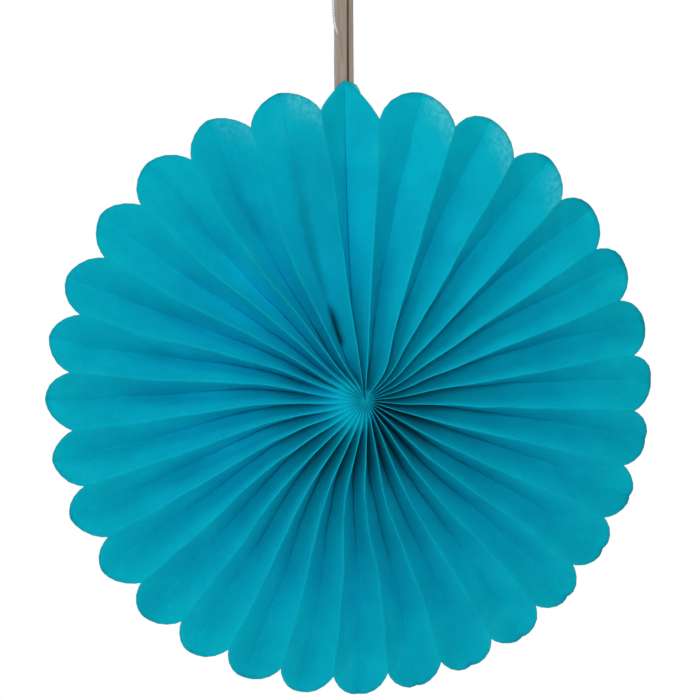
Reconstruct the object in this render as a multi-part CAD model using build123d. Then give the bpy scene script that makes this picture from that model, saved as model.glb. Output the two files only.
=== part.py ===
from build123d import *
import os
from math import cos, exp, hypot, pi, radians, sin, sqrt, tan

# Pleated paper fan rosette that hangs from a ribbon loop.
# One strip of paper is folded to and fro, opened into a full circle and glued to itself at a seam
# at twelve o'clock. The fan faces -Y, +X is to its right and +Z is up.
# Lengths are in millimetres. Angles are in degrees, clockwise from the top as the viewer sees them.
# The shape is worked out round the middle of the rim. It is then lowered, so that the origin is
# where the ribbon loop hangs.

# The opened fan
TIP_RADIUS = 150.0
CONE_HEIGHT = 38.0
LOBES = 30

# The folded strip: its depth at the rim and the least depth that the hub's pleats keep
PAPER = 0.22
RIM_DEPTH = 12.5
SHALLOWEST_DEPTH = 5.0
SCALLOP_HEIGHT = 11.4
HUB_PACKING = 1.7

# Uneven spacing of the ridges round the rim: sine and cosine of one, two and three waves a turn
RIM_START = 4.9
RIM_WAVES = ((5.87, 1.3), (1.43, 0.69), (0.49, 0.23))
SEAM_PULL = 1.4

# Bend of the ridges between rim and hub, where the pleats were squeezed round, with a calm stretch
SWIRL = 4.8
SWIRL_RADIUS = 39.0
SWIRL_START = 1.5
CALM = 0.8
CALM_RIDGE = 6
CALM_SPAN = 3.3
HUB_PUSH = 22.5
HUB_PUSH_SPAN = 3.5
HUB_PUSH_RADIUS = 24.5
HUB_PUSH_POWER = 5
SEAM_OPENING = 30.0
SEAM_OPENING_SPAN = 2.4
SEAM_OPENING_POWER = 1.3
SEAM_OPENING_CORE = 14.0

# Lean of the valleys to one side of the middle between their ridges
LEAN_WAVES = (2.8, 1.2)
LEAN_RADIUS = 57.0
SEAM_LEAN = 4.9
SEAM_LEAN_REACH = 73.0

# The seam: the last sheet ends in a flap that is glued behind the first panel
SEAM_SLIP = 4.4
SEAM_RISE = 2.0
FLAP_WIDTH = 6.0
FLAP_FULL_RADIUS = 45.0
TAPE = 0.2
TAPE_CLEARANCE = 0.03
TAPE_INNER_RADIUS = 50.0

# The glue bead in the hub
GLUE_CLEARANCE = 0.1
GLUE_RECESS = 2.0
GLUE_CROWN = 1.2

# The doubled ribbon: its left strand is in front, and its ends are glued behind the seam's lobe
RIBBON_WIDTH = 6.2
RIBBON_THICKNESS = 0.45
RIBBON_X = -4.4
RIBBON_OFFSET = 3.2
RIBBON_GAP = 0.4
RIBBON_LAP = 18.0
LOOP_RISE = 60.0
LOOP_DEPTH = 6.4

# The thread on the ribbon's front: across, out from the ribbon's face, up from the lobe's tip
THREAD_DIAMETER = 1.3
THREAD_ROUTE = (
    (-6.1, 0.0, 24.0),
    (-6.1, 2.7, 24.0),
    (-8.2, 3.1, 29.2),
    (-8.4, 2.3, 38.5),
    (-8.2, 2.4, 47.0),
    (-7.5, 3.0, 52.0),
    (-6.3, 2.7, 55.0),
    (-6.3, 0.0, 55.0),
)

# Share of the shorter run that a cord's arc takes up
ARC_SHARE = 0.45

# Steps along each fold line
STATIONS = 10

NOTCH_RADIUS = TIP_RADIUS - SCALLOP_HEIGHT
HUB_RADIUS = HUB_PACKING * PAPER * LOBES / pi
PANEL_WIDTH = hypot(2 * NOTCH_RADIUS * sin(pi / (2 * LOBES)), RIM_DEPTH)
LAP_RADIUS = NOTCH_RADIUS - SEAM_SLIP
SEAM_VALLEY = 2 * LOBES


def rim_angle(ridge):
    """Angle of a ridge at the rim, ridges counted clockwise from the seam."""
    turn = 2 * pi * ridge / LOBES
    angle = 360 * ridge / LOBES + RIM_START
    for wave, (sine, cosine) in enumerate(RIM_WAVES, start=1):
        angle += sine * sin(wave * turn) + cosine * cos(wave * turn)
    return angle


def swell(radius, peak, power):
    """Rises from 0 at the axis to 1 at a peak radius and fades again."""
    reach = radius / peak
    return (reach * exp(1 - reach)) ** power


def ridge_angle(ridge, radius):
    """Angle of a ridge where it passes a radius. The two ridges beside the seam are straight."""
    if ridge >= LOBES:
        return ridge_angle(ridge - LOBES, radius) + 360
    if ridge == 0:
        return rim_angle(0) - SEAM_PULL
    if ridge == LOBES - 1:
        return rim_angle(ridge)
    swirl = SWIRL * (1 - exp(-ridge / SWIRL_START)) * swell(radius, SWIRL_RADIUS, 3)
    swirl *= 1 - CALM * exp(-(((ridge - CALM_RIDGE) / CALM_SPAN) ** 2))
    push = HUB_PUSH * exp(-ridge / HUB_PUSH_SPAN)
    push /= 1 + (radius / HUB_PUSH_RADIUS) ** HUB_PUSH_POWER
    opening = SEAM_OPENING * exp((ridge + 1 - LOBES) / SEAM_OPENING_SPAN)
    opening *= max(0, 1 - radius / NOTCH_RADIUS) ** SEAM_OPENING_POWER
    opening *= radius**2 / (radius**2 + SEAM_OPENING_CORE**2)
    return rim_angle(ridge) + swirl + push - opening


def valley_lean(fold, middle, radius):
    """How far a valley lies clockwise of the middle between its ridges."""
    if fold == SEAM_VALLEY:
        return -SEAM_LEAN * exp(-radius / SEAM_LEAN_REACH)
    once, twice = LEAN_WAVES
    turn = radians(middle)
    return -(once * sin(turn) + twice * sin(2 * turn)) * swell(radius, LEAN_RADIUS, 4)


def is_ridge(fold):
    """Odd folds are ridges, towards the viewer."""
    return fold % 2 == 1


def fold_angle(fold, radius):
    """Angle of a fold where it passes a radius: a valley lies near the middle between its ridges."""
    if is_ridge(fold):
        return ridge_angle(fold // 2, radius)
    middle = (ridge_angle(fold // 2 - 1, radius) + ridge_angle(fold // 2, radius)) / 2
    return middle + valley_lean(fold, middle, radius)


def half_pitch(fold, radius):
    """Mean width round the circle of the two panels beside a fold."""
    if fold == 1:
        spread = fold_angle(2, radius) + 360 - fold_angle(SEAM_VALLEY, radius)
    else:
        spread = fold_angle(fold + 1, radius) - fold_angle(fold - 1, radius)
    return radius * radians(spread) / 2


def pleat_depth(fold, radius):
    """Ridge to valley: the panel keeps its width as it is squeezed towards the hub."""
    return sqrt(max(PANEL_WIDTH**2 - half_pitch(fold, radius) ** 2, SHALLOWEST_DEPTH**2))


def axial_paper(fold, radius):
    """The paper's thickness measured along Y, through its slope."""
    across = half_pitch(fold, radius)
    depth = pleat_depth(fold, radius)
    square = across**2 + depth**2
    return PAPER * square / (PAPER * depth + across * sqrt(square - PAPER**2))


def on_circle(angle, radius, y):
    """The point at an angle and radius from the fan's axis."""
    return Vector(radius * sin(radians(angle)), y, radius * cos(radians(angle)))


def cone_y(radius):
    """The middle of the pleats, which lies on a cone that is deepest towards the viewer."""
    return -CONE_HEIGHT * (1 - radius / TIP_RADIUS)


def fold_point(fold, radius):
    """Front of a fold at a radius, and the paper's axial thickness there."""
    half_depth = pleat_depth(fold, radius) / 2
    thick = axial_paper(fold, radius)
    y = cone_y(radius) - half_depth if is_ridge(fold) else cone_y(radius) + half_depth - thick
    return on_circle(fold_angle(fold, radius), radius, y), thick


def layer_step(radius):
    """How far forward of the flap the first panel lies, along Y."""
    return axial_paper(SEAM_VALLEY, radius) * (PAPER + TAPE) / PAPER


def flap_width(radius):
    """Width of the glue flap, which narrows to nothing towards the hub."""
    return FLAP_WIDTH * min(1, radius / FLAP_FULL_RADIUS)


def seam_point(radius, distance, forward):
    """Front of a seam layer: a distance from the valley, and a length forward of the flap."""
    valley, _ = fold_point(SEAM_VALLEY, radius)
    ridge, _ = fold_point(1, radius)
    step = Vector(0, layer_step(radius), 0)
    along = valley + (ridge + step - valley) * (distance / PANEL_WIDTH)
    return along - step * (forward / (PAPER + TAPE))


def with_back(front, thick):
    """A front point and the point behind it."""
    return front, front + Vector(0, thick, 0)


def fold_pair(fold, radius):
    """Front and back of a fold."""
    return with_back(*fold_point(fold, radius))


def first_panel_pair(radius, distance):
    """Front and back of the first panel, at a distance from the seam's valley."""
    share = distance / PANEL_WIDTH
    thick = axial_paper(SEAM_VALLEY, radius) * (1 - share) + axial_paper(1, radius) * share
    return with_back(seam_point(radius, distance, PAPER + TAPE), thick)


def flap_pair(radius):
    """Front and back of the flap's free edge."""
    front = seam_point(radius, flap_width(radius), 0)
    return with_back(front, axial_paper(SEAM_VALLEY, radius))


def fold_radii():
    """Radii of the stations along each fold, closer together near the hub."""
    shares = [(j / STATIONS) ** 2 for j in range(STATIONS + 1)]
    return [HUB_RADIUS + (LAP_RADIUS - HUB_RADIUS) * share for share in shares]


def flat_face(*points):
    """A flat face on straight edges."""
    return Face(Wire.make_polygon(points, close=True))


def panel_faces(near, far):
    """Flat triangles between two lines of points, of which the far one may go one point further."""
    faces = []
    for a, b, c, d in zip(near, far, far[1:], near[1:]):
        faces += [flat_face(a, b, d), flat_face(b, c, d)]
    if len(far) > len(near):
        faces.append(flat_face(near[-1], far[-2], far[-1]))
    return faces


def wall_faces(line):
    """Flat faces across the paper's thickness, along a free edge."""
    return [flat_face(a[0], b[0], b[1], a[1]) for a, b in zip(line, line[1:])]


def layer_faces(near, far):
    """Front and back of the stretch of paper between two lines of front and back points."""
    faces = []
    for side in (0, 1):
        faces += panel_faces([pair[side] for pair in near], [pair[side] for pair in far])
    return faces


def scallop_face(tip, notch, *shoulder):
    """The end of one panel and its arc, which leaves the lobe's tip square to the valley fold."""
    along = (tip - shoulder[-1]).normalized()
    across = notch - shoulder[-1]
    square = (across - along * across.dot(along)).normalized()
    arc = Edge.make_tangent_arc(tip, square, notch)
    corners = [notch, *shoulder, tip]
    sides = [Edge.make_line(a, b) for a, b in zip(corners, corners[1:])]
    return Face(Wire(sides + [arc])), arc


def scallop_faces(tip, notch, *shoulder):
    """Front, back and rim of one panel's end, from pairs of front and back points."""
    ends = [scallop_face(*(pair[side] for pair in (tip, notch, *shoulder))) for side in (0, 1)]
    (front, front_arc), (back, back_arc) = ends
    return [front, back, Face.make_surface_from_curves(front_arc, back_arc)]


def folded_paper():
    """The whole pleated strip as one closed solid."""
    radii = fold_radii()
    long_radii = radii + [NOTCH_RADIUS]
    edge = [first_panel_pair(radius, 0) for radius in radii]
    lap = [first_panel_pair(radius, flap_width(radius)) for radius in radii]
    first = [fold_pair(1, radius) for radius in radii]
    folds = [[fold_pair(fold, radius) for radius in long_radii] for fold in range(2, SEAM_VALLEY + 1)]
    flap = [flap_pair(radius) for radius in long_radii]
    lines = [edge, lap, first, *folds, flap]

    faces = []
    for near, far in zip(lines, lines[1:]):
        faces += layer_faces(near, far)
        faces += wall_faces([near[0], far[0]])

    edge_tip = first_panel_pair(TIP_RADIUS - SEAM_SLIP, 0)
    seam_tip = fold_pair(SEAM_VALLEY, TIP_RADIUS + SEAM_RISE)
    flap_tip = flap_pair(TIP_RADIUS)
    tips = {fold: fold_pair(fold, TIP_RADIUS) for fold in range(2, SEAM_VALLEY, 2)}
    tips[SEAM_VALLEY] = seam_tip
    shoulders = dict(enumerate([first, *folds], start=1))
    faces += scallop_faces(edge_tip, first[-1], lap[-1], edge[-1])
    for fold, tip in tips.items():
        faces += scallop_faces(tip, shoulders[fold - 1][-1], shoulders[fold][-1])
        if fold < SEAM_VALLEY:
            faces += scallop_faces(tip, shoulders[fold + 1][-1], shoulders[fold][-1])

    faces += wall_faces([*edge, edge_tip])
    faces += layer_faces([folds[-1][-1], seam_tip], [flap[-1], flap_tip])
    faces += wall_faces([*flap, flap_tip])
    faces += wall_faces([seam_tip, flap_tip])
    return Solid(Shell(faces))


def seam_tape():
    """The double-sided strip between the first panel and the glue flap."""
    lines = []
    for share in (0, 1):
        line = []
        for radius in fold_radii():
            if radius > TAPE_INNER_RADIUS:
                distance = share * flap_width(radius)
                front = seam_point(radius, distance, TAPE - TAPE_CLEARANCE)
                line.append((front, seam_point(radius, distance, TAPE_CLEARANCE)))
        lines.append(line)
    left, right = lines
    faces = layer_faces(left, right) + wall_faces(left) + wall_faces(right)
    for end in (0, -1):
        faces += wall_faces([left[end], right[end]])
    return Solid(Shell(faces))


def hub_glue():
    """The bead in the middle of the hub, with its front end behind the folds' ends."""
    folds = range(1, SEAM_VALLEY)
    widest = max(fold_angle(fold + 1, HUB_RADIUS) - fold_angle(fold, HUB_RADIUS) for fold in folds)
    radius = HUB_RADIUS * cos(radians(widest / 2)) - GLUE_CLEARANCE
    bead = Cylinder(radius, PANEL_WIDTH - 2 * GLUE_RECESS)
    bead = chamfer(bead.edges().group_by(Axis.Z)[-1], GLUE_CROWN)
    return Pos(0, cone_y(HUB_RADIUS), 0) * Rot(90, 0, 0) * bead


def corner_radii(points):
    """The arc at each corner of a route, as large as its two runs allow."""
    result = []
    for before, corner, after in zip(points, points[1:], points[2:]):
        run_in, run_out = corner - before, after - corner
        half_turn = radians(run_in.get_angle(run_out)) / 2
        result.append(ARC_SHARE * min(run_in.length, run_out.length) / tan(half_turn))
    return result


def cord_path(points):
    """Straight runs joined by tangent arcs."""
    return FilletPolyline(*points, radius=corner_radii(points))


def ribbon_points():
    """Up in front, over the top and down behind, from one glued end to the other."""
    tip = TIP_RADIUS + SEAM_RISE
    low = tip - RIBBON_LAP
    top = tip + LOOP_RISE
    seat = RIBBON_GAP + RIBBON_THICKNESS / 2
    layer = RIBBON_THICKNESS + RIBBON_GAP
    tip_y = fold_pair(SEAM_VALLEY, tip)[1].Y + seat
    low_y = fold_pair(SEAM_VALLEY, low)[1].Y + seat
    front_y = tip_y + (layer - LOOP_DEPTH) / 2
    left, right = RIBBON_X, RIBBON_X + RIBBON_OFFSET
    return [
        Vector(left, low_y, low),
        Vector(left, tip_y, tip),
        Vector(left, front_y, top),
        Vector(right, front_y + LOOP_DEPTH, top),
        Vector(right, tip_y + layer, tip),
        Vector(right, low_y + layer, low),
    ]


def hanging_ribbon():
    """The doubled ribbon, whose flat section keeps facing the viewer along its loop."""
    points = ribbon_points()
    path = cord_path(points)
    start = Plane(origin=points[0], x_dir=(1, 0, 0), z_dir=points[1] - points[0])
    section = start * Rectangle(RIBBON_WIDTH, RIBBON_THICKNESS)
    guide = Pos(RIBBON_WIDTH, 0, 0) * path
    return Solid.sweep(section.face(), Wire(path.edges()), mode=Wire(guide.edges()))


def thread_points():
    """The thread's route, from where it leaves the ribbon's front to where it goes back in."""
    _, tip, top, *_ = ribbon_points()
    up = (top - tip).normalized()
    out = Vector(0, -up.Z, up.Y)
    points = []
    for x, distance, rise in THREAD_ROUTE:
        on_strand = tip + up * rise + out * (RIBBON_THICKNESS / 2 + distance)
        points.append(Vector(x, on_strand.Y, on_strand.Z))
    return points


def hanging_thread():
    """The round thread beside the ribbon's front strand."""
    points = thread_points()
    path = cord_path(points)
    start = Plane(origin=points[0], z_dir=points[1] - points[0])
    section = start * Circle(THREAD_DIAMETER / 2)
    return Solid.sweep(section.face(), Wire(path.edges()))


def loop_inside():
    """Where the top of the ribbon loop rests on what it hangs from."""
    _, _, front, back, *_ = ribbon_points()
    return (front + back) / 2 - Vector(0, 0, RIBBON_THICKNESS / 2)


def report_cord(name, points, section_area, solid):
    """Print a cord's length, its arcs and how its volume compares with section times length."""
    length = cord_path(points).length
    arcs = ", ".join(f"{radius:.1f}" for radius in corner_radii(points))
    print(f"{name}: length {length:.1f}, arc radii {arcs}")
    print(f"{name}: volume {solid.volume:.2f}, section x length {section_area * length:.2f}")


nodes = {
    "folded_paper": folded_paper(),
    "seam_tape": seam_tape(),
    "hub_glue": hub_glue(),
    "hanging_ribbon": hanging_ribbon(),
    "hanging_thread": hanging_thread(),
}

report_cord(
    "hanging_ribbon", ribbon_points(), RIBBON_WIDTH * RIBBON_THICKNESS, nodes["hanging_ribbon"]
)
report_cord(
    "hanging_thread", thread_points(), pi * THREAD_DIAMETER**2 / 4, nodes["hanging_thread"]
)

os.makedirs("parts", exist_ok=True)
lowered = Pos(*(-loop_inside()))
for name, solid in nodes.items():
    export_step(lowered * solid, f"parts/{name}.step")
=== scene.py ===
"""Finish and studio for a pleated paper fan rosette that hangs from a ribbon loop.

The fan faces -Y, +X is to its right and +Z is up, and the origin is where the ribbon loop hangs.
Sizes are in millimetres and are turned into metres where geometry is made.
"""

import logging
import math
from dataclasses import dataclass
from enum import Enum
from typing import Callable, Iterable, Sequence

import bmesh
import bpy
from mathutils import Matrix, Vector

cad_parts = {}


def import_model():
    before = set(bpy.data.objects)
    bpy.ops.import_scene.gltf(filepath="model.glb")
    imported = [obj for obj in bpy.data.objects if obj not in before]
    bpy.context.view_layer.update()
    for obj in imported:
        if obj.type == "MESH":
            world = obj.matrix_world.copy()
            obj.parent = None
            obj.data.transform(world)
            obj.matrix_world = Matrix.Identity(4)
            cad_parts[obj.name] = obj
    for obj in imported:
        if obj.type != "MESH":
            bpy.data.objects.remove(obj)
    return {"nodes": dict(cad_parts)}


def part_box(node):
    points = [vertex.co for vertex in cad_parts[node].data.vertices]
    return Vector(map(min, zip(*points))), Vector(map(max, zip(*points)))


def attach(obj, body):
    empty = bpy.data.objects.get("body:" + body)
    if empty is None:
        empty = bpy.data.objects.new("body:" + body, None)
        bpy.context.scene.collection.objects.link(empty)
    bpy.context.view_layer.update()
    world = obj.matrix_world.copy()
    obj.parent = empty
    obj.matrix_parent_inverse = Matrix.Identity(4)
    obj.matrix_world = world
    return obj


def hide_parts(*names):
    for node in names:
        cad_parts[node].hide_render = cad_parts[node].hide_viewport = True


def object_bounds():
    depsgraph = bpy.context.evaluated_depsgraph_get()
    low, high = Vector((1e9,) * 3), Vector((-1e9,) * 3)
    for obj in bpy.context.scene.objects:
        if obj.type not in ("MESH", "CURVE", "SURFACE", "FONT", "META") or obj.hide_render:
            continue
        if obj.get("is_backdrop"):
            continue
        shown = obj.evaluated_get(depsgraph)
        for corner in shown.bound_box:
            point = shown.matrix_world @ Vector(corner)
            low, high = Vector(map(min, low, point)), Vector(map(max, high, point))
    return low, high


logging.basicConfig(level=logging.INFO, format="%(name)s: %(message)s")
log = logging.getLogger("fan")

MM = 0.001
ROOT = "root"
ROUTE_STEPS = 24
BEAD_SPREAD = 1.7
COUNT_MARGIN = 0.1


class Slot(Enum):
    """Names of the material slots for the pieces made here; the script does not assign them."""

    PAPER = "paper"
    TAPE = "tape"
    RIBBON = "ribbon"
    THREAD = "thread"


def through(operation: str, turned: bool = False) -> Callable[..., "Value"]:
    """Make a method that puts a value through a Math node.

    Args:
        operation: The node's operation.
        turned: Whether the value is the second operand, after a plain number.

    Returns:
        The method.
    """

    def method(value: "Value", *others: "Value | float") -> "Value":
        """The value, and what goes with it, through the node."""
        operands = (*others, value) if turned else (value, *others)
        return value.bench.maths(operation, *operands)

    return method


class Value:
    """A node's output that Python arithmetic can be written on.

    Angles are in radians. What above, below and equals give is 1 for yes and 0 for no.
    """

    def __init__(self, bench: "Bench", socket: bpy.types.NodeSocket) -> None:
        """Wrap a socket.

        Args:
            bench: The tree that the socket belongs to.
            socket: The output socket.
        """
        self.bench = bench
        self.socket = socket

    __add__ = through("ADD")
    __radd__ = through("ADD", turned=True)
    __sub__ = through("SUBTRACT")
    __rsub__ = through("SUBTRACT", turned=True)
    __mul__ = through("MULTIPLY")
    __rmul__ = through("MULTIPLY", turned=True)
    __truediv__ = through("DIVIDE")
    __rtruediv__ = through("DIVIDE", turned=True)
    __pow__ = through("POWER")
    sine = through("SINE")
    cosine = through("COSINE")
    arcsine = through("ARCSINE")
    exponent = through("EXPONENT")
    root = through("SQRT")
    size = through("ABSOLUTE")
    floor = through("FLOOR")
    modulo = through("FLOORED_MODULO")
    at_least = through("MAXIMUM")
    at_most = through("MINIMUM")
    above = through("GREATER_THAN")
    below = through("LESS_THAN")

    def __neg__(self) -> "Value":
        """The value with its sign turned."""
        return self * -1.0

    def equals(self, number: float) -> "Value":
        """Whether a count is this number."""
        return self.bench.maths("COMPARE", self, number, COUNT_MARGIN)


Number = Value | float
Colour = tuple[float, float, float, float]


class Bench:
    """A node tree under construction."""

    def __init__(self, tree: bpy.types.NodeTree) -> None:
        """Start with an empty tree.

        Args:
            tree: A shader or geometry tree.
        """
        self.tree = tree
        tree.nodes.clear()

    def put(self, target: bpy.types.NodeSocket, value: object) -> None:
        """Link a value to a socket, or set the socket to a constant.

        Args:
            target: The input socket.
            value: What it gets.
        """
        if isinstance(value, Value):
            self.tree.links.new(value.socket, target)
        else:
            target.default_value = value

    def node(
        self, kind: str, settings: dict[str, object] | None = None, **inputs: object
    ) -> bpy.types.Node:
        """Add a node.

        Args:
            kind: The node's type.
            settings: Properties that are set before the sockets.
            **inputs: Sockets by name, with underscores for spaces, or in0, in1 by number.

        Returns:
            The new node.
        """
        node = self.tree.nodes.new(kind)
        for name, value in (settings or {}).items():
            setattr(node, name, value)
        for name, value in inputs.items():
            if name.startswith("in") and name[2:].isdigit():
                target = node.inputs[int(name[2:])]
            else:
                target = node.inputs[name.replace("_", " ")]
            self.put(target, value)
        return node

    def out(self, node: bpy.types.Node, name: str | int = 0) -> Value:
        """One output of a node as a value."""
        return Value(self, node.outputs[name])

    def maths(self, operation: str, *operands: object) -> Value:
        """A Math node on one to three operands."""
        inputs = {f"in{n}": operand for n, operand in enumerate(operands)}
        return self.out(self.node("ShaderNodeMath", {"operation": operation}, **inputs))

    def vectors(self, operation: str, *operands: object) -> Value:
        """A Vector Math node on one or two operands."""
        inputs = {f"in{n}": operand for n, operand in enumerate(operands)}
        return self.out(self.node("ShaderNodeVectorMath", {"operation": operation}, **inputs))

    def vector(self, x: Number, y: Number, z: Number) -> Value:
        """A vector from three values."""
        return self.out(self.node("ShaderNodeCombineXYZ", X=x, Y=y, Z=z))

    def scaled(self, vector: Value, factor: Number) -> Value:
        """A vector times a number."""
        return self.out(self.node("ShaderNodeVectorMath", {"operation": "SCALE"}, in0=vector, Scale=factor))

    def blend(self, factor: Number, first: object, second: object) -> Value:
        """A mix of two colours."""
        inputs = {"in0": factor, "in6": first, "in7": second}
        return self.out(self.node("ShaderNodeMix", {"data_type": "RGBA"}, **inputs), 2)

    def between(self, factor: Number, first: Value, second: Value) -> Value:
        """A point between two others."""
        inputs = {"in0": factor, "in4": first, "in5": second}
        return self.out(self.node("ShaderNodeMix", {"data_type": "VECTOR"}, **inputs), 1)


class GeometryBench(Bench):
    """A geometry tree with named inputs."""

    def __init__(self, name: str, inputs: Iterable[str], outputs: Sequence[tuple[str, str]]) -> None:
        """Make the tree and its interface.

        Args:
            name: The tree's name.
            inputs: Names of its number inputs.
            outputs: Name and socket type of each output.
        """
        super().__init__(bpy.data.node_groups.new(name, "GeometryNodeTree"))
        for label in inputs:
            self.tree.interface.new_socket(label, in_out="INPUT", socket_type="NodeSocketFloat")
        for label, kind in outputs:
            self.tree.interface.new_socket(label, in_out="OUTPUT", socket_type=kind)
        self.entry = self.tree.nodes.new("NodeGroupInput")
        self.exit = self.tree.nodes.new("NodeGroupOutput")

    def given(self, name: str) -> Value:
        """One of the tree's inputs."""
        return self.out(self.entry, name)

    def call(self, tree: bpy.types.NodeTree, **inputs: object) -> Value:
        """The first output of another tree, used as a group."""
        return self.out(self.node("GeometryNodeGroup", {"node_tree": tree}, **inputs))

    def store(self, mesh: Value, name: str, value: Value, domain: str = "POINT") -> Value:
        """Keep a number on the mesh as a named attribute.

        Args:
            mesh: The mesh.
            name: The attribute's name.
            value: The number.
            domain: What carries it, POINT or FACE.

        Returns:
            The mesh with the attribute.
        """
        settings = {"data_type": "FLOAT", "domain": domain}
        node = self.node("GeometryNodeStoreNamedAttribute", settings, Geometry=mesh, Name=name, Value=value)
        return self.out(node)

    def deliver(self, mesh: Value) -> None:
        """End the tree in Realize Instances and Set Material.

        Args:
            mesh: The finished mesh.
        """
        self.tree.interface.new_socket("Material", in_out="INPUT", socket_type="NodeSocketMaterial")
        real = self.out(self.node("GeometryNodeRealizeInstances", Geometry=mesh))
        dressed = self.node("GeometryNodeSetMaterial", Geometry=real, Material=self.given("Material"))
        self.put(self.exit.inputs[0], self.out(dressed))

    def harvest(
        self, sizes: dict[str, float], name: str, material: bpy.types.Material
    ) -> bpy.types.Object:
        """Run the tree and keep its result as a plain mesh object.

        Args:
            sizes: Numbers for the tree's inputs, by name.
            name: Name of the new object.
            material: Its material.

        Returns:
            The object, with no modifier.
        """
        host = bpy.data.objects.new("host", bpy.data.meshes.new("host"))
        bpy.context.collection.objects.link(host)
        modifier = host.modifiers.new("grow", "NODES")
        modifier.node_group = self.tree
        for item in self.tree.interface.items_tree:
            if item.in_out == "INPUT":
                is_number = item.name in sizes
                modifier[item.identifier] = float(sizes[item.name]) if is_number else material
        graph = bpy.context.evaluated_depsgraph_get()
        mesh = bpy.data.meshes.new_from_object(
            host.evaluated_get(graph), preserve_all_data_layers=True, depsgraph=graph
        )
        bpy.data.objects.remove(host)
        mesh.name = name
        piece = bpy.data.objects.new(name, mesh)
        bpy.context.collection.objects.link(piece)
        return piece


class ShaderBench(Bench):
    """A material's tree, ending in one Principled shader."""

    def __init__(self, name: str, **constants: object) -> None:
        """Make the material.

        Args:
            name: The material's name.
            **constants: Constant values of the shader's sockets, by name.
        """
        self.material = bpy.data.materials.new(name)
        self.material.use_nodes = True
        super().__init__(self.material.node_tree)
        self.shader = self.node("ShaderNodeBsdfPrincipled", None, **constants)
        output = self.node("ShaderNodeOutputMaterial")
        self.tree.links.new(self.shader.outputs[0], output.inputs["Surface"])

    def attribute(self, name: str) -> Value:
        """A number kept on the mesh."""
        return self.out(self.node("ShaderNodeAttribute", {"attribute_name": name}), "Fac")

    def place(self) -> Value:
        """The point in the piece's own space."""
        return self.out(self.node("ShaderNodeTexCoord"), "Object")

    def noise(self, vector: Value, scale: float, detail: float = 3.0, rough: float = 0.5) -> Value:
        """Soft noise from 0 to 1."""
        inputs = {"Vector": vector, "Scale": scale, "Detail": detail, "Roughness": rough}
        return self.out(self.node("ShaderNodeTexNoise", None, **inputs), "Fac")

    def finish(
        self, colour: Value, roughness: Number, height: Value | None = None, depth: float = 0.0
    ) -> None:
        """Feed the shader.

        Args:
            colour: Base colour.
            roughness: Roughness.
            height: Relief from 0 to 1, or None.
            depth: How deep the relief is, in metres.
        """
        self.put(self.shader.inputs["Base Color"], colour)
        self.put(self.shader.inputs["Roughness"], roughness)
        if height is not None:
            bump = self.node("ShaderNodeBump", None, Strength=1.0, Distance=depth, Height=height)
            self.tree.links.new(bump.outputs[0], self.shader.inputs["Normal"])


@dataclass(frozen=True)
class Fade:
    """A smooth change from one level, at the start, to another, at the end."""

    start: Number
    end: Number
    low: float = 0.0
    high: float = 1.0

    def of(self, value: Value) -> Value:
        """The level where a value stands.

        Args:
            value: The value.

        Returns:
            The first level before the start, the second after the end, and a smooth step between.
        """
        sockets = {"From Min": self.start, "From Max": self.end, "To Min": self.low, "To Max": self.high}
        settings = {"interpolation_type": "SMOOTHSTEP"}
        node = value.bench.node("ShaderNodeMapRange", settings, Value=value, **sockets)
        return value.bench.out(node)


@dataclass(frozen=True)
class Band:
    """A level that rises from nothing, holds, and fades to what is left after it."""

    start: float
    full: float
    fade: float
    end: float
    level: float = 1.0
    after: float = 0.0

    def of(self, value: Value) -> Value:
        """The level where a value stands."""
        fall = Fade(self.fade, self.end, self.level, self.after)
        return Fade(self.start, self.full).of(value) * fall.of(value)


@dataclass(frozen=True)
class Sector:
    """A side of the fan: its turn in degrees, and the cosines where it starts and is full."""

    turn: float
    start: float
    full: float

    def of(self, angle: Value) -> Value:
        """How far an angle lies in the sector, from 0 to 1."""
        return Fade(self.start, self.full).of((angle - math.radians(self.turn)).cosine())


def weighted(shares: Sequence[float], *values: Value) -> Value:
    """The sum of some values, each times its share."""
    return sum((value * share for value, share in zip(values, shares)), 0.0)


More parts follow.
